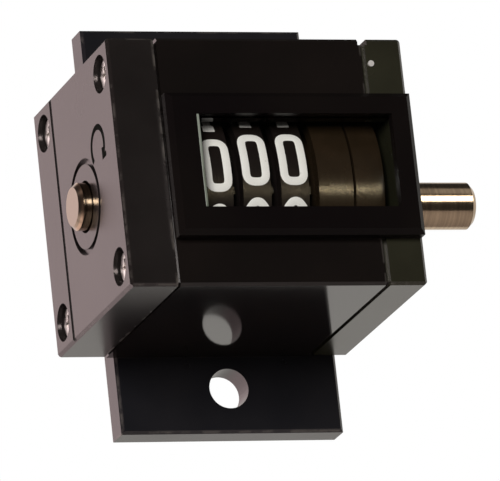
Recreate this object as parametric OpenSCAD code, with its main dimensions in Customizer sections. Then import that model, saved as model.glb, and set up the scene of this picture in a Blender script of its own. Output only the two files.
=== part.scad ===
// Shaft-driven row counter: housing, mounting plate, three number wheels, transfer pinions.
// Millimetres. X runs to the drive shaft, -Y is the reading face, +Z is up.
// The origin is the centre of the two-hole pattern on the rear face of the plate.

/* [Body] */
// Width of the body along X
body_width = 41.1; // [36:0.1:60]
// Depth of the body from the plate to the front face
body_depth = 32.3; // [32:0.1:40]
// Height of the body
body_height = 34.0; // [33.8:0.1:45]
// Sideways offset of the body centre from the plate centre
body_shift = -3.15; // [-6:0.05:0]
// Height of the body centre above the plate centre
body_lift = -0.8; // [-1.4:0.1:-0.2]
// Width of the left end cap
left_cap_width = 6.5; // [6:0.1:9]
// Width of the right end cap
right_cap_width = 5.8; // [5.4:0.1:8]
// Wall thickness of the shell and the cap skirts
wall = 1.5; // [1.2:0.1:1.5]
// Small bevel on the outer edges
edge_bevel = 0.4; // [0.2:0.1:0.8]

/* [Mounting plate] */
// Width of the mounting plate
plate_width = 31.4; // [24:0.1:40]
// Height of the mounting plate
plate_height = 56.8; // [50:0.1:70]
// Thickness of the mounting plate
plate_thickness = 4.0; // [3:0.1:6]
// Distance between the two mounting holes
hole_spacing = 44.45; // [42:0.05:50]
// Diameter of the two mounting holes
hole_diameter = 5.5; // [4:0.1:6.5]

/* [Shaft] */
// Diameter of the drive shaft
shaft_diameter = 6.35; // [6:0.05:8]
// Length of shaft outside the right face
shaft_reach = 13.0; // [8:0.1:30]
// Length of shaft outside the left face
stub_reach = 1.8; // [0.5:0.1:3]
// Distance of the shaft axis behind the front face
axis_depth = 14.8; // [14.5:0.1:15.5]
// Distance of the shaft axis below the middle of the body
axis_drop = 1.5; // [0.2:0.1:1.5]
// Radial running clearance on the shaft
running_gap = 0.04; // [0.01:0.01:0.1]

/* [Wheels] */
// Outside radius of the number wheels
wheel_radius = 13.85; // [13.6:0.05:13.85]
// Width of the printed rim of a wheel
rim_width = 3.88; // [3.5:0.01:4]
// Distance from one wheel to the next
wheel_pitch = 5.28; // [5.2:0.01:5.3]
// Offset of the units wheel centre along X
units_x = 0.75; // [0.5:0.05:0.8]
// Distance from the shaft axis to the pinion rod
pinion_centres = 14.95; // [14.9:0.01:15]
// Direction of the pinion rod from the shaft axis, in degrees
pinion_angle = 43.8; // [43:0.1:45]
// Diameter of the pinion rod
rod_diameter = 1.6; // [1.2:0.1:1.8]

/* [Window] */
// Width of the bezel
bezel_width = 34.1; // [30:0.1:36]
// Height of the bezel
bezel_height = 19.5; // [17:0.1:24]
// Height of the bezel in front of the body
bezel_rise = 2.4; // [2:0.1:3]
// Width of the window opening
window_width = 27.2; // [24:0.1:27.4]
// Height of the window opening
window_height = 12.8; // [12:0.1:14]

/* [Fasteners] */
// Distance of the cap screws from the body edges
screw_inset = 3.8; // [3.6:0.1:4.5]
// Diameter of the cap screw heads
head_diameter = 4.5; // [4:0.1:4.8]
// Diameter of the screw threads
thread_diameter = 2.5; // [2:0.1:2.6]

/* [Hidden] */
$fn = 64;
left = body_shift - body_width / 2;
right = body_shift + body_width / 2;
back = -plate_thickness;
front = back - body_depth;
top = body_lift + body_height / 2;
bottom = body_lift - body_height / 2;
left_seam = left + left_cap_width;
right_seam = right - right_cap_width;
axis_y = front + axis_depth;
axis_z = body_lift - axis_drop;
rod_y = axis_y + pinion_centres * cos(pinion_angle);
rod_z = axis_z + pinion_centres * sin(pinion_angle);
shaft_r = shaft_diameter / 2;
rod_r = rod_diameter / 2;
half_rim = rim_width / 2;
input_rim = 4.8;
filler_rim = 4.0;
tens_x = units_x - wheel_pitch;
hundreds_x = tens_x - wheel_pitch;
input_x = units_x + half_rim + 1.4 + input_rim / 2;
filler_x = input_x + input_rim / 2 + 0.35 + filler_rim / 2;
gear_thick = 0.75;
lock_thick = 0.4;
gear_teeth = 20;
gear_tip = 12.3;
gear_root = 10.0;
pinion_teeth = 6;
pinion_tip = 4.35;
pinion_root = 2.3;
pinion_width = 1.0;
window_x = 0.45;
window_z = -1.4;
bezel_x = 0.05;
bezel_z = -1.75;
bush_r = 4.5;
recess_r = 6.4;
recess_deep = 0.5;
head_deep = 0.8;
bore_deep = 2.0;
seam_deep = 0.6;
plate_screw_left = -11.2;
plate_screw_right = 7.4;
screw_ys = [front + screw_inset, back - screw_inset];
screw_zs = [bottom + screw_inset, top - screw_inset];

// A cylinder along X that starts at x.
module rod_x(x, y, z, r, h) {
    translate([x, y, z])
        rotate([0, 90, 0])
            cylinder(h = h, r = r);
}

// A cone along X that starts at x.
module cone_x(x, y, z, r1, r2, h) {
    translate([x, y, z])
        rotate([0, 90, 0])
            cylinder(h = h, r1 = r1, r2 = r2);
}

// A box given by its low and high corners.
module box(a, b) {
    translate(a)
        cube(b - a);
}

// Takes an outline drawn in (Y, Z) to a slab that starts at x.
module slab_x(x, h) {
    translate([x, axis_y, axis_z])
        rotate([90, 0, 90])
            linear_extrude(height = h)
                children();
}

// Outline points of a toothed disc with straight flanks.
function tooth_points(n, root, tip, root_half, tip_half, turn) = [
    for (i = [0 : n - 1])
        for (c = [[root, -root_half], [tip, -tip_half], [tip, tip_half], [root, root_half]])
            let (a = turn + 360 * i / n + c[1] / c[0] * 180 / PI)
                [c[0] * cos(a), c[0] * sin(a)]
];

// Cuts a bevel along the four X edges and one end face of a box.
module bevel_cuts(x, side, a, b) {
    e = edge_bevel;
    for (y = [a[0], b[0]])
        for (z = [a[1], b[1]])
            translate([x, y, z])
                rotate([45, 0, 0])
                    cube([200, e * 1.414, e * 1.414], center = true);
    for (y = [a[0], b[0]])
        translate([side, y, 0])
            rotate([0, 0, 45])
                cube([e * 1.414, e * 1.414, 200], center = true);
    for (z = [a[1], b[1]])
        translate([side, 0, z])
            rotate([0, 45, 0])
                cube([e * 1.414, 200, e * 1.414], center = true);
}

// Shallow groove around the body that starts at x.
module seam_cut(x, width) {
    difference() {
        box([x - 0.01, front - 1, bottom - 1], [x + width, back + 1, top + 1]);
        box([x - 1, front + seam_deep, bottom + seam_deep], [x + 2, back + 2, top - seam_deep]);
    }
}

// One corner post for the cap screws, with a flat fill out to the walls.
module corner_post(x0, x1, y, z) {
    rod_x(x0, y, z, 3.0, x1 - x0);
    y_out = y < axis_y ? front + 0.6 : back;
    z_out = z < axis_z ? bottom + 0.6 : top - 0.6;
    box([x0, min(y, y_out), min(z, z_out)], [x1, max(y, y_out), max(z, z_out)]);
}

// Cap screw: pan head with a cross recess, head towards dir.
module cap_screw(x, y, z, dir, reach) {
    head = bore_deep - head_deep;
    difference() {
        union() {
            rod_x(dir < 0 ? x : x - head, y, z, head_diameter / 2 - 0.3, head);
            rod_x(dir < 0 ? x + 0.35 : x - head, y, z, head_diameter / 2, head - 0.35);
            rod_x(dir < 0 ? x + head - 0.01 : x - head - reach + 0.01, y, z, thread_diameter / 2, reach);
        }
        box([x - 0.5, y - 1.1, z - 0.25], [x + 0.5, y + 1.1, z + 0.25]);
        box([x - 0.5, y - 0.25, z - 1.1], [x + 0.5, y + 0.25, z + 1.1]);
    }
}

module housing_shell() {
    color([0.05, 0.05, 0.06])
        difference() {
            union() {
                box([left_seam, front, bottom], [right_seam, front + wall, top]);
                box([left_seam, front, top - wall], [right_seam, back, top]);
                box([left_seam, front, bottom], [right_seam, back, bottom + wall]);
                box([left_seam, back - 1.2, bottom], [-13.2, back, top]);
                corner_post(left_seam, right_seam, screw_ys[0], screw_zs[0]);
                corner_post(left_seam, right_seam, screw_ys[0], screw_zs[1]);
                corner_post(left_seam, right_seam, screw_ys[1], screw_zs[0]);
                corner_post(left_seam, -9.4, screw_ys[1], screw_zs[1]);
                corner_post(5.3, right_seam, screw_ys[1], screw_zs[1]);
            }
            rod_x(-12.2, axis_y, axis_z, wheel_radius + 0.35, right_seam + 13);
            box([window_x - window_width / 2 - 0.2, front - 1, window_z - window_height / 2 - 0.1],
                [right_seam + 1, front + wall + 3, window_z + window_height / 2 + 0.1]);
            for (y = screw_ys)
                for (z = screw_zs) {
                    rod_x(left_seam - 1, y, z, thread_diameter / 2 + 0.02, 5);
                    rod_x(right_seam - 2.9, y, z, thread_diameter / 2 + 0.02, 5);
                }
            for (x = [plate_screw_left, plate_screw_right])
                for (z = screw_zs)
                    translate([x, back + 1, z])
                        rotate([90, 0, 0])
                            cylinder(h = 6.4, r = 1.02);
            seam_cut(left_seam, 0.35);
            box([left_seam - 1, front - 1, top - 0.75], [left_seam + 0.5, front + 2.8, top + 1]);
            box([right_seam - 0.3, front - 1, top - 0.9], [right_seam + 1, front + 3.6, top + 1]);
            bevel_cuts(0, 500, [front, bottom], [front, top]);
        }
}

module left_end_cap() {
    inner = left + 3.3;
    color([0.07, 0.07, 0.08])
        difference() {
            union() {
                difference() {
                    box([left, front, bottom], [left_seam, back, top]);
                    box([inner, front + wall, bottom + wall], [left_seam + 1, back - wall, top - wall]);
                }
                for (y = screw_ys)
                    for (z = screw_zs)
                        corner_post(inner - 0.5, left_seam, y, z);
                rod_x(inner - 0.5, axis_y, axis_z, bush_r + 1.8, 1.6);
            }
            bevel_cuts(0, left, [front, bottom], [back, top]);
            rod_x(left - 1, axis_y, axis_z, shaft_r + 0.3, 9);
            rod_x(left + 1.4, axis_y, axis_z, bush_r + 0.01, 9);
            difference() {
                rod_x(left - 1, axis_y, axis_z, recess_r, 1 + recess_deep);
                rod_x(left - 2, axis_y, axis_z, recess_r - 0.8, 5);
            }
            for (y = screw_ys)
                for (z = screw_zs) {
                    rod_x(left - 1, y, z, 2.55, 1 + bore_deep);
                    rod_x(left, y, z, thread_diameter / 2 + 0.2, 9);
                }
            box([left - 1, back - 8.05, bottom - 1], [left + 0.3, back - 7.15, top + 1]);
        }
}

module right_end_cap() {
    inner = right - 2.8;
    color([0.06, 0.06, 0.07])
        difference() {
            union() {
                difference() {
                    box([right_seam, front, bottom], [right, back, top]);
                    box([right_seam - 1, front + wall, bottom + wall], [inner, back - wall, top - wall]);
                }
                for (y = screw_ys)
                    for (z = screw_zs)
                        corner_post(right_seam, inner + 0.5, y, z);
            }
            bevel_cuts(0, right, [front, bottom], [back, top]);
            rod_x(right_seam - 1, axis_y, axis_z, wheel_radius + 0.35, inner - right_seam + 1);
            seam_cut(right_seam, 0.65);
            box([right_seam - 1, front - 1, window_z - window_height / 2 - 0.1],
                [inner, front + wall + 3, window_z + window_height / 2 + 0.1]);
            rod_x(inner - 1, axis_y, axis_z, bush_r + 0.01, 9);
            for (y = screw_ys)
                for (z = screw_zs) {
                    rod_x(right - bore_deep, y, z, 2.55, 1 + bore_deep);
                    rod_x(right_seam - 1, y, z, thread_diameter / 2 + 0.2, 9);
                }
            box([right_seam - 1, front - 1, top - 0.9], [right_seam + 1.0, front + 3.6, top + 1]);
            translate([right_seam + 1.25, front - 1, top - 3.5])
                rotate([-90, 0, 0])
                    cylinder(h = 2.5, r = 0.43);
        }
}

module back_plate() {
    e = edge_bevel;
    w = plate_width / 2;
    h = plate_height / 2;
    color([0.06, 0.06, 0.07])
        difference() {
            box([-w, -plate_thickness, -h], [w, 0, h]);
            for (x = [-w, w])
                translate([x, -plate_thickness, 0])
                    rotate([0, 0, 45])
                        cube([e * 1.414, e * 1.414, 200], center = true);
            for (z = [-h, h])
                translate([0, -plate_thickness, z])
                    rotate([45, 0, 0])
                        cube([200, e * 1.414, e * 1.414], center = true);
            for (z = [-hole_spacing / 2, hole_spacing / 2])
                translate([0, 1, z])
                    rotate([90, 0, 0])
                        cylinder(h = plate_thickness + 2, r = hole_diameter / 2);
            for (x = [plate_screw_left, plate_screw_right])
                for (z = screw_zs) {
                    translate([x, 1, z])
                        rotate([90, 0, 0])
                            cylinder(h = plate_thickness + 2, r = 1.2);
                    translate([x, 0.01, z])
                        rotate([90, 0, 0])
                            cylinder(h = 1.5, r1 = 2.3, r2 = 0.8);
                }
            for (p = [[-5.5, -19.0], [8.2, -18.6]])
                translate([p[0], -plate_thickness + 0.25, p[1]])
                    rotate([90, 0, 0])
                        cylinder(h = 1, r = 0.35);
        }
}

module window_bezel() {
    e = 0.7;
    x0 = bezel_x - bezel_width / 2;
    x1 = bezel_x + bezel_width / 2;
    z0 = bezel_z - bezel_height / 2;
    z1 = bezel_z + bezel_height / 2;
    y0 = front - bezel_rise;
    wx = window_width / 2;
    wz = window_height / 2;
    color([0.04, 0.04, 0.05])
        difference() {
            box([x0, y0, z0], [x1, front, z1]);
            for (x = [x0, x1])
                translate([x, y0, 0])
                    rotate([0, 0, 45])
                        cube([e * 1.414, e * 1.414, 200], center = true);
            for (z = [z0, z1])
                translate([0, y0, z])
                    rotate([45, 0, 0])
                        cube([200, e * 1.414, e * 1.414], center = true);
            box([window_x - wx, y0 - 1, window_z - wz], [window_x + wx, front + 1, window_z + wz]);
            box([window_x - wx - 0.6, front - 1.1, window_z - wz - 0.6],
                [window_x + wx + 0.6, front + 1, window_z + wz + 0.6]);
        }
}

module window_pane() {
    wx = window_width / 2 + 0.55;
    wz = window_height / 2 + 0.55;
    color([0.8, 0.9, 0.85, 0.3])
        box([window_x - wx, front - 1.08, window_z - wz], [window_x + wx, front - 0.02, window_z + wz]);
}

// Plain bush with a chamfered mouth.
module bush(x, h) {
    difference() {
        rod_x(x, axis_y, axis_z, bush_r, h);
        rod_x(x - 1, axis_y, axis_z, shaft_r + running_gap, h + 2);
        cone_x(x - 0.01, axis_y, axis_z, shaft_r + 0.4, shaft_r - 0.1, 0.5);
        cone_x(x + h - 0.49, axis_y, axis_z, shaft_r - 0.1, shaft_r + 0.4, 0.5);
    }
}

module left_bearing() {
    color([0.75, 0.6, 0.38])
        bush(left + 1.42, 3.0);
}

module right_bearing() {
    color([0.75, 0.6, 0.38])
        bush(right - 2.7, 2.9);
}

module left_cap_screws() {
    color([0.85, 0.83, 0.82])
        for (y = screw_ys)
            for (z = screw_zs)
                cap_screw(left + head_deep, y, z, -1, 7.6);
}

module right_cap_screws() {
    color([0.85, 0.83, 0.82])
        for (y = screw_ys)
            for (z = screw_zs)
                cap_screw(right - head_deep, y, z, 1, 5.8);
}

module plate_screws() {
    color([0.75, 0.75, 0.76])
        for (x = [plate_screw_left, plate_screw_right])
            for (z = screw_zs)
                difference() {
                    union() {
                        translate([x, -0.05, z])
                            rotate([90, 0, 0])
                                cylinder(h = 9.0, r = 1.0);
                        translate([x, -0.05, z])
                            rotate([90, 0, 0])
                                cylinder(h = 1.15, r1 = 2.15, r2 = 1.0);
                    }
                    box([x - 1.6, -0.6, z - 0.22], [x + 1.6, 0.5, z + 0.22]);
                }
}

module cover_pin() {
    color([0.9, 0.9, 0.88])
        translate([right_seam + 1.25, front + 1.4, top - 3.5])
            rotate([90, 0, 0])
                cylinder(h = 1.6, r = 0.42);
}

module pinion_rod() {
    color([0.8, 0.8, 0.8])
        rod_x(-9.25, rod_y, rod_z, rod_r, 14.4);
}

module pinion_comb() {
    color([0.72, 0.6, 0.4])
        difference() {
            box([-9.3, axis_y + 8.0, axis_z + 8.0], [5.2, back - 0.02, top - wall - 0.02]);
            rod_x(-10, axis_y, axis_z, wheel_radius + 0.45, 17);
            for (x = [hundreds_x, tens_x, units_x])
                rod_x(x + half_rim - 0.1, rod_y, rod_z, pinion_tip + 0.55, 1.6);
            rod_x(-10, rod_y, rod_z, rod_r + 0.02, 17);
        }
}

module drive_shaft() {
    c = 0.6;
    x0 = left - stub_reach;
    x1 = right + shaft_reach;
    color([0.82, 0.8, 0.76])
        difference() {
            union() {
                cone_x(x0, axis_y, axis_z, shaft_r - c, shaft_r, c);
                rod_x(x0 + c, axis_y, axis_z, shaft_r, x1 - x0 - 2 * c);
                cone_x(x1 - c, axis_y, axis_z, shaft_r, shaft_r - c, c);
            }
            for (g = [[13.35, 0.62, 0.3], [right + 0.25, 0.5, 0.2]])
                difference() {
                    rod_x(g[0], axis_y, axis_z, shaft_r + 1, g[1]);
                    rod_x(g[0] - 0.1, axis_y, axis_z, shaft_r - g[2], g[1] + 0.2);
                }
            for (x = [input_x, filler_x])
                translate([x, axis_y, axis_z - 5])
                    cylinder(h = 10, r = 0.77);
        }
}

// Hub, web and rim shared by the wheels and drums.
module wheel_blank(x, width, bore) {
    difference() {
        rod_x(x - width / 2, axis_y, axis_z, wheel_radius, width);
        difference() {
            rod_x(x - width / 2 - 1, axis_y, axis_z, wheel_radius - 1.6, 2.3);
            rod_x(x - width / 2 - 1, axis_y, axis_z, 5.2, 2.3);
        }
        rod_x(x - width / 2 - 1, axis_y, axis_z, bore, width + 2);
    }
}

// Number wheel: blank, twenty-tooth gear on the right, locking ring on the left.
module number_wheel(x) {
    difference() {
        union() {
            wheel_blank(x, rim_width, 3.0);
            slab_x(x + half_rim - 0.01, gear_thick + 0.01)
                polygon(tooth_points(gear_teeth, gear_root, gear_tip, 0.9, 0.45, pinion_angle));
            lock_ring(x);
        }
        rod_x(x - half_rim - 1, axis_y, axis_z, shaft_r + running_gap, rim_width + 4);
    }
}

// Locking ring with the gap that lets the pinion turn one step.
module lock_ring(x) {
    difference() {
        rod_x(x - half_rim - lock_thick, axis_y, axis_z, 10.4, lock_thick + 1.4);
        rod_x(x - half_rim - 1, axis_y, axis_z, 8.6, lock_thick + 2.4);
        slab_x(x - half_rim - 1, 1)
            for (a = [-9, 9])
                rotate(pinion_angle + 180 + a)
                    translate([9.2, -0.55])
                        square([2, 1.1]);
    }
    rod_x(x - half_rim - lock_thick, axis_y, axis_z, 5.2, lock_thick + 1);
}

module units_wheel() {
    color([0.07, 0.07, 0.07])
        number_wheel(units_x);
}

module tens_wheel() {
    color([0.07, 0.07, 0.07])
        number_wheel(tens_x);
}

module hundreds_wheel() {
    color([0.07, 0.07, 0.07])
        number_wheel(hundreds_x);
}

module input_drum() {
    color([0.1, 0.08, 0.07])
        difference() {
            union() {
                wheel_blank(input_x, input_rim, 3.0);
                lock_ring(input_x - input_rim / 2 + half_rim);
            }
            rod_x(0, axis_y, axis_z, shaft_r + 0.01, 30);
            translate([input_x, axis_y, axis_z - 5.3])
                cylinder(h = 10.6, r = 0.77);
        }
}

module filler_drum() {
    color([0.1, 0.08, 0.07])
        difference() {
            union() {
                wheel_blank(filler_x, filler_rim, 3.0);
                rod_x(filler_x - filler_rim / 2 - 0.33, axis_y, axis_z, 5.2, 1);
            }
            rod_x(0, axis_y, axis_z, shaft_r + 0.01, 30);
            translate([filler_x, axis_y, axis_z - 5.3])
                cylinder(h = 10.6, r = 0.77);
        }
}

module drum_pins() {
    color([0.78, 0.78, 0.8])
        for (x = [input_x, filler_x])
            translate([x, axis_y, axis_z - 4.9])
                cylinder(h = 9.8, r = 0.75);
}

module stack_spacer() {
    color([0.72, 0.72, 0.74])
        difference() {
            rod_x(-15.48, axis_y, axis_z, 5.0, 3.1);
            rod_x(-16, axis_y, axis_z, shaft_r + 0.01, 5);
        }
}

module shaft_collar() {
    color([0.7, 0.7, 0.72])
        difference() {
            rod_x(-18.9, axis_y, axis_z, 6.2, 3.4);
            rod_x(-20, axis_y, axis_z, shaft_r + 0.01, 7);
            translate([-17.2, axis_y, axis_z])
                cylinder(h = 9, r = 1.02);
        }
}

module collar_set_screw() {
    color([0.3, 0.3, 0.32])
        difference() {
            translate([-17.2, axis_y, axis_z + shaft_r + 0.02])
                cylinder(h = 2.6, r = 1.0);
            translate([-17.2, axis_y, axis_z + 4.6])
                cylinder(h = 4, r = 0.5, $fn = 6);
        }
}

module retaining_ring() {
    color([0.6, 0.6, 0.62])
        difference() {
            rod_x(13.4, axis_y, axis_z, 4.6, 0.5);
            rod_x(13, axis_y, axis_z, shaft_r - 0.28, 2);
            box([13, axis_y - 1.6, axis_z - 6], [15, axis_y + 1.6, axis_z]);
        }
}

// Six-tooth transfer pinion, a tooth gap facing the wheel.
module transfer_pinion(x) {
    difference() {
        translate([x + half_rim + 0.2, rod_y, rod_z])
            rotate([90, 0, 90])
                linear_extrude(height = pinion_width)
                    polygon(tooth_points(pinion_teeth, pinion_root, pinion_tip, 0.7, 0.4, pinion_angle + 30));
        rod_x(x, rod_y, rod_z, rod_r + 0.05, 5);
    }
}

module units_pinion() {
    color([0.9, 0.88, 0.8])
        transfer_pinion(units_x);
}

module tens_pinion() {
    color([0.9, 0.88, 0.8])
        transfer_pinion(tens_x);
}

module hundreds_pinion() {
    color([0.9, 0.88, 0.8])
        transfer_pinion(hundreds_x);
}

housing_shell();
left_end_cap();
right_end_cap();
back_plate();
window_bezel();
window_pane();
left_bearing();
right_bearing();
left_cap_screws();
right_cap_screws();
plate_screws();
cover_pin();
pinion_rod();
pinion_comb();
drive_shaft();
input_drum();
filler_drum();
drum_pins();
shaft_collar();
collar_set_screw();
stack_spacer();
retaining_ring();
units_wheel();
tens_wheel();
hundreds_wheel();
units_pinion();
tens_pinion();
hundreds_pinion();
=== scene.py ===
import math
import bpy
from mathutils import Matrix, Vector


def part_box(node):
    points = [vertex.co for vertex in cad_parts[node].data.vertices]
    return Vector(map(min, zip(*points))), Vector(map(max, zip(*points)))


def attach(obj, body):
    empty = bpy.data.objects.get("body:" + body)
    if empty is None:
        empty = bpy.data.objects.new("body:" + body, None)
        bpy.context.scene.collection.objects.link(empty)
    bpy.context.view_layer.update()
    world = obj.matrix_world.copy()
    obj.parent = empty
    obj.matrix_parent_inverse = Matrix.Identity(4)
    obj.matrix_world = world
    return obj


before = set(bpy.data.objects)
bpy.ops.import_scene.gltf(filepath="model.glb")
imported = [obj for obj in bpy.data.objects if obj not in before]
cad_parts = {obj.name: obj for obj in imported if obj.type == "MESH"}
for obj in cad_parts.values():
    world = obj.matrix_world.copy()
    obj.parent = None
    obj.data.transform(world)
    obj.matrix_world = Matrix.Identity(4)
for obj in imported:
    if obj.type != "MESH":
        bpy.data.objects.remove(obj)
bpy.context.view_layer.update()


class Wire:
    def __init__(self, graph, socket):
        self.graph = graph
        self.socket = socket

    def calc(self, operation, *others):
        values = dict(enumerate((self,) + others))
        return self.graph.add("ShaderNodeMath", {"operation": operation}, values)

    def __add__(self, other):
        return self.calc("ADD", other)

    def __radd__(self, other):
        return self.calc("ADD", other)

    def __sub__(self, other):
        return self.calc("SUBTRACT", other)

    def __rsub__(self, other):
        return self.graph.add("ShaderNodeMath", {"operation": "SUBTRACT"}, {0: other, 1: self})

    def __mul__(self, other):
        return self.calc("MULTIPLY", other)

    def __rmul__(self, other):
        return self.calc("MULTIPLY", other)

    def __pow__(self, other):
        return self.calc("POWER", other)

    def __abs__(self):
        return self.calc("ABSOLUTE")

    def max(self, other):
        return self.calc("MAXIMUM", other)

    def min(self, other):
        return self.calc("MINIMUM", other)

    def ramp(self, low, high):      # 0 at low, 1 at high, smooth between
        return self.graph.add("ShaderNodeMapRange", {"interpolation_type": "SMOOTHSTEP"},
                              {"Value": self, "From Min": low, "From Max": high})

    def out(self, name):            # another output of the same node
        return Wire(self.graph, self.socket.node.outputs[name])


class Graph:
    def __init__(self, name, world=False):
        holder = bpy.data.worlds.new(name) if world else bpy.data.materials.new(name)
        holder.use_nodes = True
        self.holder = holder
        self.tree = holder.node_tree
        self.tree.nodes.clear()

    def add(self, kind, settings=None, values=None):
        made = self.tree.nodes.new(kind)
        for key, value in (settings or {}).items():
            setattr(made, key, value)
        for key, value in (values or {}).items():
            socket = made.inputs[key]
            if isinstance(value, Wire):
                self.tree.links.new(value.socket, socket)
            elif isinstance(value, tuple) and len(value) == 3 and socket.type == "RGBA":
                socket.default_value = (*value, 1)
            else:
                socket.default_value = value
        first = next((s for s in made.outputs if s.enabled), None)
        return Wire(self, first)

    def place(self):                # object coordinates, in metres
        return self.add("ShaderNodeTexCoord").out("Object")

    def axes(self, at):
        split = self.add("ShaderNodeSeparateXYZ", None, {0: at})
        return split.out("X"), split.out("Y"), split.out("Z")

    def noise(self, at, scale, detail=3.0, rough=0.5):
        return self.add("ShaderNodeTexNoise", None,
                        {"Vector": at, "Scale": scale, "Detail": detail, "Roughness": rough})

    def stretch(self, at, x, y, z):
        return self.add("ShaderNodeMapping", {"vector_type": "POINT"},
                        {"Vector": at, "Scale": (x, y, z)})

    def vector(self, x, y, z):
        return self.add("ShaderNodeCombineXYZ", None, {0: x, 1: y, 2: z})

    def mix(self, factor, first, second):
        made = self.add("ShaderNodeMix", {"data_type": "RGBA"}, {"Factor": factor})
        node = made.socket.node
        for index, value in ((6, first), (7, second)):
            if isinstance(value, Wire):
                self.tree.links.new(value.socket, node.inputs[index])
            else:
                node.inputs[index].default_value = (*value, 1)
        return Wire(self, node.outputs[2])

    def bump(self, height, distance):
        return self.add("ShaderNodeBump", None, {"Height": height, "Distance": distance})

    def surface(self, **values):
        names = {"colour": "Base Color", "rough": "Roughness", "metal": "Metallic",
                 "normal": "Normal", "specular": "Specular IOR Level", "tint": "Specular Tint"}
        return self.add("ShaderNodeBsdfPrincipled", None,
                        {names[key]: value for key, value in values.items()})

    def finish(self, shader):
        self.add("ShaderNodeOutputMaterial", None, {"Surface": shader})
        return self.holder


def dress(nodeName, material):
    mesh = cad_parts[nodeName].data
    mesh.materials.clear()
    mesh.materials.append(material)


camera = {"yaw": 20.41, "pitch": 16.54, "roll": -6.24, "distance": 1.080, "lens": 576.0,
          "side": 0.0064, "lift": -0.00017}


def makeCamera(c):
    a, b, t = (math.radians(c[k]) for k in ("yaw", "pitch", "roll"))
    forward = Vector((math.sin(a) * math.cos(b), math.cos(a) * math.cos(b), math.sin(b)))
    level = forward.cross(Vector((0, 0, 1))).normalized()
    upright = level.cross(forward)
    right = level * math.cos(t) + upright * math.sin(t)
    up = upright * math.cos(t) - level * math.sin(t)
    at = right * c["side"] + up * c["lift"] - forward * c["distance"]
    turn = Matrix((right, up, -forward)).transposed().to_4x4()
    data = bpy.data.cameras.new("camera")
    data.lens = c["lens"]
    data.sensor_width = 36.0
    data.sensor_fit = "HORIZONTAL"
    data.clip_start = 0.01
    data.clip_end = 30.0
    made = bpy.data.objects.new("camera", data)
    made.matrix_world = Matrix.Translation(at) @ turn
    bpy.context.scene.collection.objects.link(made)
    bpy.context.scene.camera = made


studio = {
    "behind": 1.0, "front": 0.05,                     # brightness of the mirrored room
    "frontToBack": (-0.25, 0.35), "ceiling": (0.62, 0.80), "leftToRight": (-0.3, 0.3),
    "leftTint": (1.0, 0.80, 0.80), "rightTint": (0.86, 0.83, 0.78), "leftGain": 1.32,
    "floorDrop": -0.8, "floorRadius": 1.1, "paperCloud": 3.0,
    "paper": ((0.86, 0.85, 0.83), (0.92, 0.91, 0.90)),
    "lights": {              # towards, away, width, height, power, colour, pieces (None: all)
        "keyLight": ((-0.45, -0.85, 0.12), 1.0, 0.30, 0.30, 9.0, (1.0, 0.97, 0.94), None),
        "drumLight": ((0.334, -0.943, 0.01), 1.0, 0.16, 0.05, 0.72, (1.0, 0.80, 0.50),
                      ["input_drum", "filler_drum",
                       "units_wheel", "tens_wheel", "hundreds_wheel"]),
        "shaftLight": ((0.334, -0.89, 0.31), 1.0, 0.30, 0.42, 3.5, (1.0, 0.98, 0.88),
                       ["drive_shaft"]),
        "shaftTopLight": ((0.334, -0.398, 0.854), 1.0, 0.30, 0.73, 0.30, (1.0, 0.95, 0.90),
                          ["drive_shaft"]),
        "screwLight": ((-0.58, 0.77, 0.25), 1.0, 0.40, 0.40, 1.2, (1.0, 0.90, 0.88),
                       ["left_cap_screws"]),
    },
}


def makeLight(name, towards, away, width, height, power, colour, onlyOn):
    data = bpy.data.lights.new(name, "AREA")
    data.shape = "RECTANGLE"
    data.size = width
    data.size_y = height
    data.energy = power
    data.color = colour
    made = bpy.data.objects.new(name, data)
    direction = Vector(towards).normalized()
    made.location = direction * away
    made.rotation_euler = direction.to_track_quat("Z", "Y").to_euler()
    made.visible_camera = False
    bpy.context.scene.collection.objects.link(made)
    if onlyOn:                                        # a small lamp that is aimed at a few pieces
        lit = bpy.data.collections.new(name + "Pieces")
        for nodeName in onlyOn:
            lit.objects.link(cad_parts[nodeName])
        made.light_linking.receiver_collection = lit


def makeWorld(s):
    g = Graph("studio", world=True)
    towards = g.add("ShaderNodeTexCoord").out("Generated")
    x, y, z = g.axes(towards)
    lit = y.ramp(*s["frontToBack"]) * (1 - z.ramp(*s["ceiling"]))
    side = x.ramp(*s["leftToRight"])
    level = lit * (s["behind"] - s["front"]) + s["front"]
    level = level * (s["leftGain"] - side * (s["leftGain"] - 1))
    seen = g.add("ShaderNodeLightPath")
    tint = g.mix(side, s["leftTint"], s["rightTint"])
    tint = g.mix(seen, tint, (1.0, 1.0, 1.0))         # the backdrop itself stays white
    back = g.add("ShaderNodeBackground", None, {"Color": tint, "Strength": seen.max(level)})
    g.add("ShaderNodeOutputWorld", None, {"Surface": back})
    bpy.context.scene.world = g.holder


def makeFloor(s):
    bpy.ops.object.select_all(action="DESELECT")
    bpy.ops.mesh.primitive_circle_add(vertices=96, radius=s["floorRadius"],
                                      fill_type="NGON", location=(0, 0, s["floorDrop"]))
    floor = bpy.context.object
    floor.name = "floor"
    bpy.ops.object.transform_apply(location=True)
    g = Graph("floorPaper")
    cloud = g.noise(g.place(), s["paperCloud"])
    tint = g.mix(cloud, *s["paper"])
    floor.data.materials.append(g.finish(g.surface(colour=tint, rough=0.8, specular=0.1)))


makeCamera(camera)
makeWorld(studio)
makeFloor(studio)
for lightName, setting in studio["lights"].items():
    makeLight(lightName, *setting)
bpy.context.scene.view_settings.view_transform = "Standard"
print("camera, room and lights made")


worn = {"patches": 420.0, "bare": (0.16, 0.145, 0.13), "rougher": 0.15,
        "scratchStretch": (60.0, 60.0, 1400.0), "scratchRange": (0.64, 0.70)}


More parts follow.
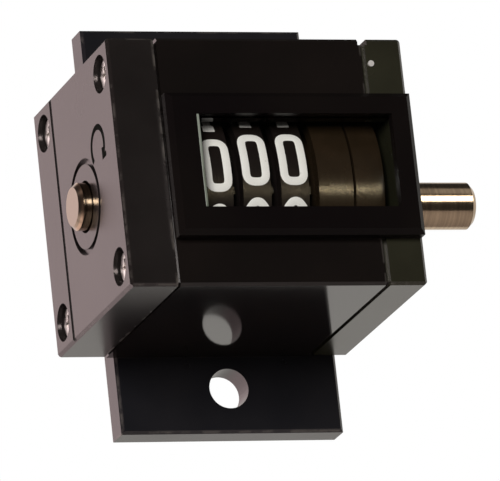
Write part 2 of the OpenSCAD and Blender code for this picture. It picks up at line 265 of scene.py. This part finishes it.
def edgeWear(g, at, corners, width):        # 1 on the outer edges of a box, in patches
    gaps = []
    for wire, low, high in zip(g.axes(at), corners[0], corners[1]):
        gaps.append(abs(wire - low).min(abs(wire - high)))
    a, b, c = gaps
    second = a.min(b).max(a.max(b).min(c))            # distance to the nearest edge
    patches = g.noise(at, worn["patches"], 4.0, 0.6)
    return (1 - second.ramp(0.0, width)) * patches.ramp(0.46, 0.62)


def blackCoat(name, c):
    g = Graph(name)
    at = g.place()
    cloud = g.noise(at, c["cloud"], 3.0, 0.55)
    fine = g.noise(at, c["grain"], 4.0)
    tint = g.mix(cloud.ramp(0.3, 0.7), c["colour"], c["second"])
    rubbed = edgeWear(g, at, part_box(c["node"]), c["wearWidth"]) * c["wear"]
    tint = g.mix(rubbed, tint, worn["bare"])
    rough = c["rough"] + (cloud - 0.5) * c["roughRange"] + rubbed * worn["rougher"]
    long = g.noise(g.stretch(at, *worn["scratchStretch"]), 1.0, 2.0)
    height = fine + long.ramp(*worn["scratchRange"]) * c["scratch"]
    return g.finish(g.surface(colour=tint, rough=rough, specular=c["specular"], tint=c["sheen"],
                              normal=g.bump(height, c["depth"])))


blacks = {
    "capLeft": {
        "node": "left_end_cap", "colour": (0.0085, 0.0070, 0.0066),
        "second": (0.0125, 0.0105, 0.0100), "sheen": (1.0, 0.90, 0.90), "specular": 0.5,
        "rough": 0.26, "roughRange": 0.10, "cloud": 70.0, "grain": 1500.0, "depth": 0.000008,
        "scratch": 0.2, "wear": 0.45, "wearWidth": 0.00045},
    # painted light: the right end cap has the left cap's finish, but its colour is made lighter
    # and yellower to show how that end is lit
    "capRight": {
        "node": "right_end_cap", "colour": (0.0150, 0.0145, 0.0085),
        "second": (0.0210, 0.0205, 0.0120), "sheen": (1.0, 0.95, 0.92), "specular": 0.5,
        "rough": 0.26, "roughRange": 0.10, "cloud": 70.0, "grain": 1500.0, "depth": 0.000008,
        "scratch": 0.2, "wear": 0.45, "wearWidth": 0.00045},
    "shell": {
        "node": "housing_shell", "colour": (0.0056, 0.0043, 0.0039),
        "second": (0.0082, 0.0060, 0.0052), "sheen": (1.0, 0.95, 0.95), "specular": 0.42,
        "rough": 0.08, "roughRange": 0.05, "cloud": 50.0, "grain": 220.0, "depth": 0.000004,
        "scratch": 0.15, "wear": 0.25, "wearWidth": 0.0003},
    "plate": {
        "node": "back_plate", "colour": (0.0072, 0.0074, 0.0098),
        "second": (0.0100, 0.0098, 0.0120), "sheen": (1.0, 0.93, 0.92), "specular": 0.5,
        "rough": 0.30, "roughRange": 0.12, "cloud": 80.0, "grain": 1800.0, "depth": 0.000008,
        "scratch": 0.12, "wear": 0.55, "wearWidth": 0.0005},
    "bezel": {
        "node": "window_bezel", "colour": (0.0045, 0.0034, 0.0036),
        "second": (0.0062, 0.0048, 0.0044), "sheen": (1.0, 0.96, 0.92), "specular": 0.06,
        "rough": 0.20, "roughRange": 0.08, "cloud": 60.0, "grain": 400.0, "depth": 0.000006,
        "scratch": 0.15, "wear": 0.2, "wearWidth": 0.0003},
}
for finish, look in blacks.items():
    dress(look["node"], blackCoat(finish + "Black", look))
print("black pieces finished")

wheelLow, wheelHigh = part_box("units_wheel")
axisY = (wheelLow.y + wheelHigh.y) / 2        # the shaft's line
axisZ = (wheelLow.z + wheelHigh.z) / 2


def around(g, at):          # place along the shaft, distance from it and angle round it
    x, y, z = g.axes(at)
    dy, dz = y - axisY, z - axisZ
    radius = (dy * dy + dz * dz) ** 0.5
    return x, radius, g.add("ShaderNodeMath", {"operation": "ARCTAN2"}, {0: dz, 1: dy})


def turnedMetal(name, c):
    g = Graph(name)
    at = g.place()
    x, radius, angle = around(g, at)
    per = c["rings"]                              # rings to a metre
    rings = g.noise(g.vector(x * per, radius * per, angle * 0.15), 1.0, 4.0, 0.65)
    fine = g.noise(g.vector(x * per * 4.0, radius * per * 4.0, angle * 0.4), 1.0, 2.0)
    cloud = g.noise(at, c["cloud"], 4.0, 0.6)
    stain = cloud.ramp(0.55, 0.72) * c["stain"]
    tint = g.mix(rings.ramp(0.25, 0.75), c["colour"], c["second"])
    tint = g.mix(stain, tint, c["dirt"])
    if "endTint" in c:              # the left end face is duller than the turned side
        tint = g.mix(x.ramp(c["endAt"] - 0.0001, c["endAt"] + 0.0001), c["endTint"], tint)
    rough = c["rough"] + (rings - 0.5) * 0.12 + stain * 0.25
    return g.finish(g.surface(colour=tint, rough=rough, metal=1.0,
                              normal=g.bump(rings + fine * 0.5, c["depth"])))


metals = {
    "shaft": {
        "nodes": ["drive_shaft", "shaft_collar"],
        "colour": (0.34, 0.255, 0.175), "second": (0.52, 0.395, 0.27),
        "dirt": (0.13, 0.09, 0.055), "rings": 2600.0, "cloud": 160.0, "stain": 0.35,
        "rough": 0.15, "depth": 0.000003,
        "endTint": (0.28, 0.235, 0.17), "endAt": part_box("drive_shaft")[0].x + 0.0003},
    "bush": {
        "nodes": ["left_bearing", "right_bearing"],
        "colour": (0.44, 0.34, 0.22), "second": (0.62, 0.50, 0.34),
        "dirt": (0.14, 0.09, 0.05), "rings": 1800.0, "cloud": 300.0, "stain": 0.6,
        "rough": 0.34, "depth": 0.000004},
    "brass": {
        "nodes": ["pinion_comb"],
        "colour": (0.52, 0.39, 0.19), "second": (0.66, 0.51, 0.27),
        "dirt": (0.20, 0.13, 0.06), "rings": 700.0, "cloud": 200.0, "stain": 0.4,
        "rough": 0.30, "depth": 0.000004},
    "screw": {
        "nodes": ["left_cap_screws", "right_cap_screws", "plate_screws",
                  "pinion_rod", "drum_pins"],
        "colour": (0.58, 0.54, 0.52), "second": (0.74, 0.70, 0.68),
        "dirt": (0.20, 0.17, 0.15), "rings": 900.0, "cloud": 500.0, "stain": 0.5,
        "rough": 0.28, "depth": 0.000004},
    "pin": {
        "nodes": ["cover_pin"],
        "colour": (0.80, 0.78, 0.76), "second": (0.92, 0.90, 0.88),
        "dirt": (0.40, 0.37, 0.34), "rings": 900.0, "cloud": 500.0, "stain": 0.2,
        "rough": 0.60, "depth": 0.000002},
    "spacer": {
        "nodes": ["stack_spacer"],
        "colour": (0.60, 0.61, 0.63), "second": (0.75, 0.76, 0.78),
        "dirt": (0.30, 0.30, 0.31), "rings": 2000.0, "cloud": 200.0, "stain": 0.3,
        "rough": 0.28, "depth": 0.000003},
    "oiled": {
        "nodes": ["collar_set_screw", "retaining_ring"],
        "colour": (0.09, 0.09, 0.10), "second": (0.15, 0.15, 0.16),
        "dirt": (0.04, 0.035, 0.03), "rings": 1500.0, "cloud": 300.0, "stain": 0.5,
        "rough": 0.32, "depth": 0.000003},
}
for finish, look in metals.items():
    made = turnedMetal(finish + "Metal", look)
    for nodeName in look["nodes"]:
        dress(nodeName, made)
print("metal pieces finished")


def mouldedBlack(name, c):
    g = Graph(name)
    at = g.place()
    x, radius, angle = around(g, at)
    turned = g.noise(g.vector(x * 5200.0, radius * 3000.0, angle * 0.5), 1.0, 3.0, 0.6)
    cloud = g.noise(at, c["cloud"], 4.0, 0.6)
    tint = g.mix(cloud.ramp(0.3, 0.7), c["colour"], c["second"])
    rough = c["rough"] + (turned - 0.5) * 0.14
    return g.finish(g.surface(colour=tint, rough=rough, specular=c["specular"],
                              normal=g.bump(turned, c["depth"])))


plastics = {
    "numberWheelBlack": {
        "nodes": ["units_wheel", "tens_wheel", "hundreds_wheel"], "cloud": 130.0,
        "colour": (0.0085, 0.0060, 0.0062), "second": (0.0130, 0.0095, 0.0085),
        "rough": 0.30, "specular": 0.30, "depth": 0.000003},
    "blankDrumBlack": {
        "nodes": ["input_drum", "filler_drum"], "cloud": 130.0,
        "colour": (0.0150, 0.0095, 0.0050), "second": (0.0240, 0.0150, 0.0085),
        "rough": 0.22, "specular": 0.5, "depth": 0.000004},
}
for name, look in plastics.items():
    made = mouldedBlack(name, look)
    for nodeName in look["nodes"]:
        dress(nodeName, made)

natural = {"nodes": ["units_pinion", "tens_pinion", "hundreds_pinion"],
           "colour": (0.70, 0.66, 0.54), "second": (0.80, 0.77, 0.68), "cloud": 300.0,
           "grain": 4000.0, "depth": 0.000004, "rough": 0.40, "specular": 0.4}


def naturalPlastic(c):
    g = Graph("naturalPlastic")
    at = g.place()
    cloud = g.noise(at, c["cloud"], 4.0)
    tint = g.mix(cloud, c["colour"], c["second"])
    return g.finish(g.surface(colour=tint, rough=c["rough"] + cloud * 0.1,
                              specular=c["specular"],
                              normal=g.bump(g.noise(at, c["grain"]), c["depth"])))


made = naturalPlastic(natural)
for nodeName in natural["nodes"]:
    dress(nodeName, made)

pane = {"gloss": (0.004, 0.005, 0.004), "clear": (0.985, 0.99, 0.98), "ior": 1.45,
        "shine": 0.6, "smear": 90.0, "rough": 0.04, "roughRange": 0.05}


def clearPane(c):
    g = Graph("clearPane")
    smear = g.noise(g.place(), c["smear"], 3.0)
    gloss = g.surface(colour=c["gloss"], rough=c["rough"] + smear * c["roughRange"],
                      specular=0.5)
    clear = g.add("ShaderNodeBsdfTransparent", None, {"Color": c["clear"]})
    fresnel = g.add("ShaderNodeFresnel", None, {"IOR": c["ior"]})
    g.holder.surface_render_method = "BLENDED"
    return g.finish(g.add("ShaderNodeMixShader", None,
                          {0: fresnel * c["shine"], 1: clear, 2: gloss}))


dress("window_pane", clearPane(pane))
print("wheels, pinions and pane finished")

numerals = {                        # millimetres
    "halfWidth": 1.36, "halfHeight": 3.25, "stroke": 1.10, "proud": 0.05, "bend": 1.15,
    "step": 0.45, "wheelRadius": 13.85, "rimStart": 0.4, "rimWidth": 3.88,
    "stops": {"units": 9.6, "tens": 9.3, "hundreds": 5.9},      # each zero's place, in degrees
    "colour": (0.88, 0.86, 0.84), "second": (0.95, 0.94, 0.93), "chip": (0.30, 0.27, 0.24),
}


def digitStrokes(w, h):             # centre lines of the ten digits, as (points, closed)
    return [
        [([(-w, -h), (-w, h), (w, h), (w, -h)], True)],
        [([(-0.95, h - 1.0), (-0.05, h + 0.05), (-0.05, -h - 0.2)], False),
         ([(-0.85, 0.25 - h), (0.75, 0.25 - h)], False)],
        [([(-w, h - 1.1), (-w, h), (w, h), (w, 0.7), (-w, -1.7), (-w, -h), (w + 0.3, -h)],
          False)],
        [([(-w, h - 1.1), (-w, h), (w, h), (w, 0.15), (-0.5, 0.15)], False),
         ([(-0.5, 0.15), (w, 0.15), (w, -h), (-w, -h), (-w, -h + 1.1)], False)],
        [([(-0.1, h + 0.45), (-w, -1.3), (w + 0.45, -1.3)], False),
         ([(0.75, 0.9), (0.75, -h - 0.45)], False)],
        [([(w + 0.2, h), (-w, h), (-w, 0.4), (w, 0.4), (w, -h), (-w, -h), (-w, -h + 1.1)],
          False)],
        [([(w, h - 1.1), (w, h), (-w, h), (-w, -h), (w, -h), (w, 0.35), (-w, 0.35)], False)],
        [([(-w - 0.3, h), (w, h), (-0.5, -h - 0.45)], False)],
        [([(-w, 0.1), (-w, h), (w, h), (w, 0.1)], True),
         ([(-w, -h), (-w, 0.1), (w, 0.1), (w, -h)], True)],
        [([(-w, 1.1 - h), (-w, -h), (w, -h), (w, h - 1.6), (0.4, h - 0.45), (-0.4, h - 0.45),
           (-w, h - 1.6), (-w, -0.35), (w, -0.35)], False)],
    ]


def roundedLine(points, closed, bend, step):
    places = [Vector((*p, 0.0)) for p in points]
    count = len(places)
    line = []
    for i, corner in enumerate(places):
        if not closed and i in (0, count - 1):
            line.append(corner)
            continue
        before, after = places[i - 1], places[(i + 1) % count]
        reach = min(bend, (before - corner).length / 2, (after - corner).length / 2)
        start = corner + (before - corner).normalized() * reach
        end = corner + (after - corner).normalized() * reach
        for k in range(7):
            t = k / 6
            line.append(start * (1 - t) ** 2 + corner * 2 * t * (1 - t) + end * t ** 2)
    ring = line + ([line[0]] if closed else [])
    dense = []
    for a, b in zip(ring, ring[1:]):
        parts = max(1, math.ceil((b - a).length / step))
        dense += [a.lerp(b, k / parts) for k in range(parts)]
    if not closed:
        dense.append(ring[-1])
    return [p for i, p in enumerate(dense) if i == 0 or (p - dense[i - 1]).length > 0.01]


def numeralStrip(n):                # all ten digits on one flat strip, as a mesh
    curve = bpy.data.curves.new("numeralStrip", "CURVE")
    curve.dimensions = "3D"
    curve.bevel_depth = n["stroke"] / 2
    curve.bevel_resolution = 2
    curve.use_fill_caps = True
    pitch = math.radians(36) * n["wheelRadius"]
    for digit, strokes in enumerate(digitStrokes(n["halfWidth"], n["halfHeight"])):
        for points, closed in strokes:
            line = roundedLine(points, closed, n["bend"], n["step"])
            spline = curve.splines.new("POLY")
            spline.points.add(len(line) - 1)
            for point, p in zip(spline.points, line):
                point.co = (p.x, p.y + digit * pitch, 0, 1)
            spline.use_cyclic_u = closed
    strip = bpy.data.objects.new("numeralStrip", curve)
    bpy.context.scene.collection.objects.link(strip)
    bpy.ops.object.select_all(action="DESELECT")
    strip.select_set(True)
    bpy.context.view_layer.objects.active = strip
    bpy.ops.object.convert(target="MESH")
    return bpy.context.object


def printNumerals(strip, wheel, n, paint):
    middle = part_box(wheel + "_wheel")[0].x + (n["rimStart"] + n["rimWidth"] / 2) / 1000
    piece = bpy.data.objects.new(wheel + "_numerals", strip.data.copy())
    bpy.context.scene.collection.objects.link(piece)
    flatten = n["proud"] / (n["stroke"] / 2)
    for vertex in piece.data.vertices:
        x, along, up = vertex.co
        turn = along / n["wheelRadius"] + math.radians(n["stops"][wheel])
        reach = (n["wheelRadius"] + up * flatten) / 1000
        vertex.co = (middle + x / 1000,
                     axisY - reach * math.cos(turn), axisZ + reach * math.sin(turn))
    bpy.ops.object.select_all(action="DESELECT")
    piece.select_set(True)
    bpy.context.view_layer.objects.active = piece
    bpy.ops.object.mode_set(mode="EDIT")
    bpy.ops.mesh.select_all(action="SELECT")
    bpy.ops.mesh.remove_doubles(threshold=0.000001)
    bpy.ops.mesh.normals_make_consistent(inside=False)
    bpy.ops.object.mode_set(mode="OBJECT")
    bpy.ops.object.shade_smooth_by_angle(angle=math.radians(50))
    piece.data.materials.clear()
    piece.data.materials.append(paint)
    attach(piece, wheel)


def numeralPaint(n):
    g = Graph("numeralWhite")
    at = g.place()
    cloud = g.noise(at, 400.0, 4.0)
    chips = g.noise(at, 1500.0, 3.0).ramp(0.70, 0.76)
    tint = g.mix(cloud, n["colour"], n["second"])
    tint = g.mix(chips * 0.5, tint, n["chip"])
    return g.finish(g.surface(colour=tint, rough=0.45 + cloud * 0.1, specular=0.4,
                              normal=g.bump(g.noise(at, 5000.0), 0.000004)))


strip = numeralStrip(numerals)
paint = numeralPaint(numerals)
for wheel in numerals["stops"]:
    printNumerals(strip, wheel, numerals, paint)
bpy.data.objects.remove(strip)
print("numerals printed on the three wheels")

lip = {"width": 0.00042, "depth": 0.00115, "round": 0.00012, "inset": 0.00055,
       "gapSide": 0.00004, "gapBack": 0.00003, "paintedHighlightFade": (-0.006, 0.004), "milkAmount": (0.3, 0.7),
       "dark": (0.10, 0.115, 0.085), "bright": (0.26, 0.29, 0.25), "milk": (0.20, 0.23, 0.19)}


def paintedHighlightLip(c):                    # raised edge of the pane, at the left of the opening; its colour is a painted highlight, the light caught by the pane's edge
    low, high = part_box("window_pane")
    size = (c["width"], c["depth"], high.z - low.z - 2 * (c["inset"] + c["gapBack"]))
    at = (low.x + c["inset"] + c["gapSide"] + c["width"] / 2,
          low.y - c["gapBack"] - c["depth"] / 2, (low.z + high.z) / 2)
    bpy.ops.object.select_all(action="DESELECT")
    bpy.ops.mesh.primitive_cube_add(size=1.0, location=at)
    piece = bpy.context.object
    piece.name = "pane_lip"
    piece.scale = size
    bpy.ops.object.transform_apply(location=True, rotation=True, scale=True)
    bpy.ops.object.mode_set(mode="EDIT")
    bpy.ops.mesh.select_all(action="SELECT")
    bpy.ops.mesh.bevel(offset=c["round"], segments=3, affect="EDGES")
    bpy.ops.object.mode_set(mode="OBJECT")
    bpy.ops.object.shade_smooth_by_angle(angle=math.radians(40))
    g = Graph("paintedHighlightLip")
    place = g.place()
    milk = g.noise(g.stretch(place, 400.0, 400.0, 120.0), 1.0, 3.0)
    height = g.axes(place)[2]
    # painted highlight: the lip is darker at the bottom and lighter towards the top
    tint = g.mix(height.ramp(*c["paintedHighlightFade"]), c["dark"], c["bright"])
    tint = g.mix(milk.ramp(*c["milkAmount"]), tint, c["milk"])
    look = g.surface(colour=tint, rough=0.25 + milk * 0.2, specular=0.5,
                     normal=g.bump(milk, 0.000005))
    piece.data.materials.append(g.finish(look))
    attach(piece, "housing")


paintedHighlightLip(lip)

turnMark = {"y": -0.0289, "z": 0.0036, "radius": 0.0026, "stroke": 0.0008, "proud": 0.00004,
            "start": 215, "sweep": 265, "steps": 40, "head": 0.0013, "wings": (38, -38),
            "colour": (0.004, 0.005, 0.004), "second": (0.016, 0.018, 0.014)}


def turningArrow(c):                # painted arrow that shows which way the shaft counts up
    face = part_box("left_end_cap")[0].x
    curve = bpy.data.curves.new("turning_arrow", "CURVE")
    curve.dimensions = "3D"
    curve.bevel_depth = c["stroke"] / 2
    curve.bevel_resolution = 2
    curve.use_fill_caps = True
    arc = [math.radians(c["start"] - c["sweep"] * k / c["steps"]) for k in range(c["steps"] + 1)]
    path = [Vector((math.cos(a), math.sin(a), 0)) * c["radius"] for a in arc]
    tip = path[-1]
    ahead = (path[-1] - path[-3]).normalized()
    wing = [tip + (Matrix.Rotation(math.radians(turn), 3, "Z") @ -ahead) * c["head"]
            for turn in c["wings"]]
    for line in (path, [wing[0], tip, wing[1]]):
        spline = curve.splines.new("POLY")
        spline.points.add(len(line) - 1)
        for point, p in zip(spline.points, line):
            point.co = (p.x, p.y, 0, 1)
    piece = bpy.data.objects.new("turning_arrow", curve)
    bpy.context.scene.collection.objects.link(piece)
    bpy.ops.object.select_all(action="DESELECT")
    piece.select_set(True)
    bpy.context.view_layer.objects.active = piece
    bpy.ops.object.convert(target="MESH")
    piece = bpy.context.object
    flatten = c["proud"] / (c["stroke"] / 2)
    for vertex in piece.data.vertices:
        across, up, out = vertex.co
        vertex.co = (face - out * flatten, c["y"] - across, c["z"] + up)
    bpy.ops.object.mode_set(mode="EDIT")
    bpy.ops.mesh.select_all(action="SELECT")
    bpy.ops.mesh.remove_doubles(threshold=0.000001)
    bpy.ops.mesh.normals_make_consistent(inside=False)
    bpy.ops.object.mode_set(mode="OBJECT")
    g = Graph("arrowBlack")
    at = g.place()
    chips = g.noise(at, 900.0, 4.0, 0.6)
    tint = g.mix(chips.ramp(0.5, 0.75), c["colour"], c["second"])
    look = g.surface(colour=tint, rough=0.8, specular=0.02, normal=g.bump(chips, 0.00001))
    piece.data.materials.clear()
    piece.data.materials.append(g.finish(look))
    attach(piece, "housing")


turningArrow(turnMark)
print("pane lip and turning arrow made")
